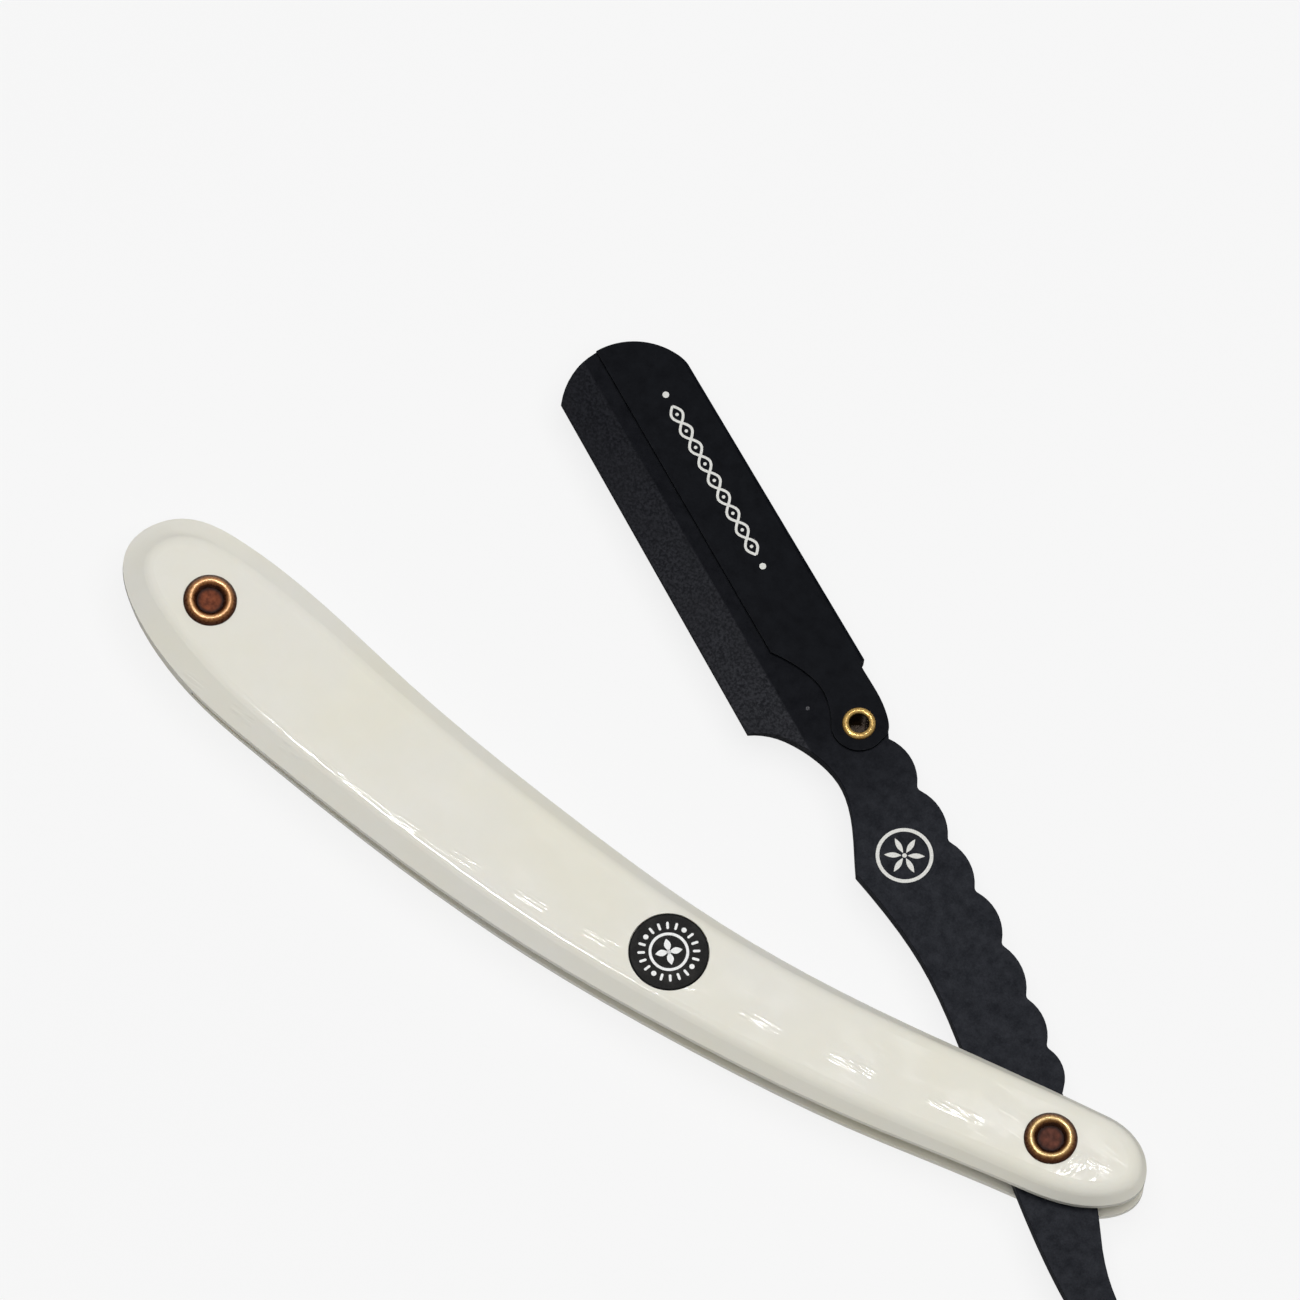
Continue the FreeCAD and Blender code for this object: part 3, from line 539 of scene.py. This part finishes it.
def dress_nodes():
    """Gives every CAD node its material."""
    plastic = ivory()
    brass_wedge = antique_brass("antique_brass_wedge", WEDGE_PIN, crest=colour(1.0, 0.56, 0.27),
                                slope=colour(0.46, 0.19, 0.065))
    brass_pivot = antique_brass("antique_brass_pivot", PIVOT, crest=colour(1.0, 0.70, 0.32),
                                slope=colour(0.40, 0.20, 0.065))
    copper_wedge = pin_copper("pin_copper_wedge", WEDGE_PIN, dark=colour(0.080, 0.018, 0.006),
                              light=colour(0.20, 0.050, 0.018))
    copper_pivot = pin_copper("pin_copper_pivot", PIVOT, dark=colour(0.040, 0.011, 0.006),
                              light=colour(0.125, 0.038, 0.022))
    steel = steel_pin()
    leaf = leaf_steel()
    washer = washer_brass()
    looks = {
        "front_scale": plastic,
        "back_scale": plastic,
        "wedge_spacer": plastic,
        "medallion": medallion_black(),
        "wedge_pin": copper_wedge,
        "pivot_pin": copper_pivot,
        "wedge_collar_front": brass_wedge,
        "wedge_collar_back": brass_wedge,
        "pivot_collar_front": brass_pivot,
        "pivot_collar_back": brass_pivot,
        "pivot_washer_front": washer,
        "pivot_washer_back": washer,
        "front_leaf": leaf,
        "back_leaf": leaf,
        "blade_pin_heel": steel,
        "blade_pin_tip": steel,
        "cover_eyelet": eyelet_brass(),
        "locking_cover": cover_steel(),
    }
    for name, material in looks.items():
        slots = nodes[name].data.materials
        slots.clear()
        slots.append(material)


# ---------------------------------------------------------------------------------------------
# Flat marks: thin plates with closed outlines
# ---------------------------------------------------------------------------------------------

def around(radius, angle):
    """The point at a radius and an angle, in millimetres."""
    return Vector((radius * math.cos(angle), radius * math.sin(angle)))


def angles(count, start=0.0):
    """Angles spaced evenly round a turn."""
    return [start + 2 * math.pi * i / count for i in range(count)]


def circle(radius, count, middle=(0, 0)):
    """Points round a circle, in millimetres."""
    return [around(radius, angle) + Vector(middle) for angle in angles(count)]


def spoke(points, angle, radius):
    """Points laid out along X, moved out to a radius and turned to point outwards."""
    spin = Matrix.Rotation(angle, 2)
    return [spin @ p + around(radius, angle) for p in points]


def lozenge(length, width, count=6):
    """A leaf-shaped lozenge along X with curved sides."""
    upper = []
    for i in range(count + 1):
        t = i / count
        upper.append(Vector((length * (t - 0.5), width / 2 * math.sin(math.pi * t))))
    lower = [Vector((p.x, -p.y)) for p in reversed(upper[1:-1])]
    return upper[::-1] + lower[::-1]


def bar(length, width):
    """A rounded bar along X."""
    radius = width / 2
    half = length / 2 - radius
    right = [Vector((half, 0)) + around(radius, math.radians(a)) for a in range(-90, 91, 30)]
    left = [Vector((-p.x, -p.y)) for p in right]
    return right + left


class Marks:
    """A group of flat marks on one plane, with the mapping from its millimetres to the frame."""

    def __init__(self, name, origin, x_axis, y_axis):
        self.name = name
        self.mesh = bmesh.new()
        self.origin = origin
        self.x_axis = x_axis
        self.y_axis = y_axis

    def vertex(self, point, height):
        flat = self.x_axis * (point[0] * MM) + self.y_axis * (point[1] * MM)
        return self.mesh.verts.new(self.origin + flat + Vector((0, 0, height * MM)))

    def loop(self, points, height):
        return [self.vertex(p, height) for p in points]

    def walls(self, low, high, outward=True):
        count = len(low)
        for i in range(count):
            j = (i + 1) % count
            quad = [low[i], low[j], high[j], high[i]]
            self.mesh.faces.new(quad if outward else quad[::-1])

    def plate(self, points):
        """A filled outline, anticlockwise."""
        low = self.loop(points, 0)
        high = self.loop(points, MARK_THICKNESS)
        self.walls(low, high)
        self.mesh.faces.new(high)
        self.mesh.faces.new(low[::-1])

    def ring(self, outer, inner, count=96):
        """A flat ring."""
        loops = []
        for radius in (outer, inner):
            points = circle(radius, count)
            loops.append((self.loop(points, 0), self.loop(points, MARK_THICKNESS)))
        (outer_low, outer_high), (inner_low, inner_high) = loops
        self.walls(outer_low, outer_high)
        self.walls(inner_low, inner_high, outward=False)
        for i in range(count):
            j = (i + 1) % count
            self.mesh.faces.new([outer_high[i], outer_high[j], inner_high[j], inner_high[i]])
            self.mesh.faces.new([outer_low[j], outer_low[i], inner_low[i], inner_low[j]])

    def wave(self, length, height, loops, width, thickness, steps_per_loop=16):
        """A ribbon along a sine with one half wave for each loop."""
        steps = steps_per_loop * loops
        edges = ([], [])
        for i in range(steps + 1):
            t = i / steps
            angle = math.pi * loops * t
            point = Vector((length * (t - 0.5), height * math.sin(angle)))
            slope = height * math.cos(angle) * math.pi * loops / length
            normal = Vector((-slope, 1)).normalized() * (width / 2)
            edges[0].append(point - normal)
            edges[1].append(point + normal)
        low = [self.loop(edge, 0) for edge in edges]
        high = [self.loop(edge, thickness) for edge in edges]
        for i in range(steps):
            self.mesh.faces.new([high[0][i], high[0][i + 1], high[1][i + 1], high[1][i]])
            self.mesh.faces.new([low[1][i], low[1][i + 1], low[0][i + 1], low[0][i]])
        self.walls(low[0] + low[1][::-1], high[0] + high[1][::-1])

    def finish(self, material, body):
        """Makes the object and lets it ride on its body."""
        data = bpy.data.meshes.new(self.name)
        bmesh.ops.recalc_face_normals(self.mesh, faces=self.mesh.faces)
        self.mesh.to_mesh(data)
        self.mesh.free()
        data.materials.append(material)
        piece = bpy.data.objects.new(self.name, data)
        bpy.context.scene.collection.objects.link(piece)
        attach(piece, body)


def medallion_marks(material):
    """A white ring with four petals inside it and a border of ticks and dots."""
    origin = Vector((MEDALLION.x, MEDALLION.y, top("medallion")))
    marks = Marks("medallion_marks", origin, Vector((1, 0, 0)), Vector((0, 1, 0)))
    marks.ring(outer=2.28, inner=1.96)
    for angle in angles(4, start=math.radians(45)):
        marks.plate(spoke(lozenge(1.5, 0.78), angle, radius=0.82))
    marks.plate(circle(0.24, 20))
    for i, angle in enumerate(angles(20)):
        if i % 5 == 0:
            marks.plate(circle(0.3, 20, middle=around(3.1, angle)))
        else:
            marks.plate(spoke(bar(0.86, 0.3), angle, radius=3.12))
    marks.finish(material, "handle")


def arm_marks(material):
    """A ringed rosette of six petals, etched on the grip."""
    marks = Marks("grip_rosette", on_arm(*ROSETTE_PLACE, top("front_leaf")), ARM_X, ARM_Y)
    marks.ring(outer=3.25, inner=2.84)
    for angle in angles(6):
        marks.plate(spoke(lozenge(1.95, 0.62), angle, radius=1.32))
    marks.plate(circle(0.26, 20))
    marks.finish(material, "blade_arm")


def cover_marks(material):
    """Two interlaced waves between two dots, etched on the cover."""
    length = 19.9
    wave_height = 0.675
    loops = 9
    end_gap = 1.55
    # One wave stands a little higher than the other, so that their faces don't coincide.
    lift = 0.002

    marks = Marks("cover_row", on_arm(*ROW_PLACE, top("locking_cover")), ARM_X, ARM_Y)
    for side in (-1, 1):
        marks.plate(circle(0.38, 28, middle=(side * (length / 2 + end_gap), 0)))
        marks.wave(length, side * wave_height, loops, width=0.3,
                   thickness=MARK_THICKNESS + side * lift)
    for i in range(loops):
        marks.plate(circle(0.2, 16, middle=(length * ((i + 0.5) / loops - 0.5), 0)))
    marks.finish(material, "cover")


# ---------------------------------------------------------------------------------------------
# Floor, light and camera
# ---------------------------------------------------------------------------------------------

def floor():
    """A plain pale floor that the razor lies on."""
    half = FLOOR_HALF_SIZE
    mesh = bmesh.new()
    corners = [(-half, -half), (half, -half), (half, half), (-half, half)]
    mesh.faces.new([mesh.verts.new((x, y, -FLOOR_DROP)) for x, y in corners])
    data = bpy.data.meshes.new("floor")
    mesh.to_mesh(data)
    mesh.free()
    m = Material("floor_paper")
    tone = m.spread(m.noise(60.0, detail=2.0), 0.3, 0.7)
    m.set(Base_Color=m.mix(tone, colour(0.10, 0.10, 0.10), colour(0.104, 0.104, 0.104)))
    m.set(Roughness=0.9, Specular_IOR_Level=0.1)
    m.set(Emission_Color=colour(1, 1, 1), Emission_Strength=FLOOR_GLOW)
    data.materials.append(m.data)
    piece = bpy.data.objects.new("floor", data)
    bpy.context.scene.collection.objects.link(piece)
    piece.visible_glossy = False


def area_light(name, direction, distance, size, power, glossy=True, diffuse=True):
    """A rectangular light aimed at the razor's middle, seen by glossy or diffuse surfaces."""
    data = bpy.data.lights.new(name, "AREA")
    data.shape = "RECTANGLE"
    data.size, data.size_y = size
    data.energy = power
    light = bpy.data.objects.new(name, data)
    away = Vector(direction).normalized()
    light.location = MIDDLE + away * distance
    light.rotation_euler = away.to_track_quat("Z", "Y").to_euler()
    light.visible_glossy = glossy
    light.visible_diffuse = diffuse
    bpy.context.scene.collection.objects.link(light)


def lights():
    """A wide soft key from above, a faint side light, and two strips for the highlights."""
    area_light("key", direction=(0.03, 0.04, 1.0), distance=1.0, size=(0.9, 0.9), power=10.3,
               glossy=False)
    area_light("side", direction=(-0.42, 0.95, 0.10), distance=1.4, size=(0.7, 0.5), power=0.35)
    area_light("strip_crease", direction=(-0.19, -0.30, 0.94), distance=0.8, size=(0.14, 0.03),
               power=1.5, diffuse=False)
    area_light("strip_ripple", direction=(-0.135, 0.150, 0.98), distance=0.8, size=(0.30, 0.014),
               power=1.1, diffuse=False)


def world_light(strength, backdrop):
    """Even surroundings: a low fill light, but about as pale as the floor to the camera."""
    world = bpy.data.worlds.new("surroundings")
    world.use_nodes = True
    tree = world.node_tree
    background = tree.nodes["Background"]
    background.inputs["Color"].default_value = colour(0.98, 0.99, 1.0)
    seen = tree.nodes.new("ShaderNodeMapRange")
    seen.inputs["To Min"].default_value = strength
    seen.inputs["To Max"].default_value = backdrop
    path = tree.nodes.new("ShaderNodeLightPath")
    tree.links.new(path.outputs["Is Camera Ray"], seen.inputs["Value"])
    tree.links.new(seen.outputs["Result"], background.inputs["Strength"])
    bpy.context.scene.world = world


def camera():
    """A long lens above the razor, tilted towards its lower edge and rolled a little."""
    heading = math.radians(VIEW_HEADING)
    tilt = math.radians(VIEW_TILT)
    roll = math.radians(VIEW_ROLL)
    across = Vector((math.cos(heading), math.sin(heading), 0))
    level_up = Vector((-math.sin(heading), math.cos(heading), 0))
    up = level_up * math.cos(tilt) + Vector((0, 0, math.sin(tilt)))
    right = across * math.cos(roll) + up * math.sin(roll)
    above = up * math.cos(roll) - across * math.sin(roll)
    back = right.cross(above)
    data = bpy.data.cameras.new("camera")
    data.sensor_width = 36.0
    data.lens = data.sensor_width * VIEW_DISTANCE / VIEW_WIDTH
    data.clip_start = 0.1
    data.clip_end = 20.0
    eye = bpy.data.objects.new("camera", data)
    turn = Matrix((right, above, back)).transposed().to_4x4()
    aim = MIDDLE + Vector(VIEW_SHIFT) * MM
    eye.matrix_world = Matrix.Translation(aim + back * VIEW_DISTANCE) @ turn
    bpy.context.scene.collection.objects.link(eye)
    bpy.context.scene.camera = eye


dress_nodes()
medallion_marks(white_print())
silver = etched_silver()
arm_marks(silver)
cover_marks(silver)
floor()
world_light(FILL_LIGHT, BACKDROP_LIGHT)
lights()
camera()
bpy.context.scene.view_settings.view_transform = "Standard"
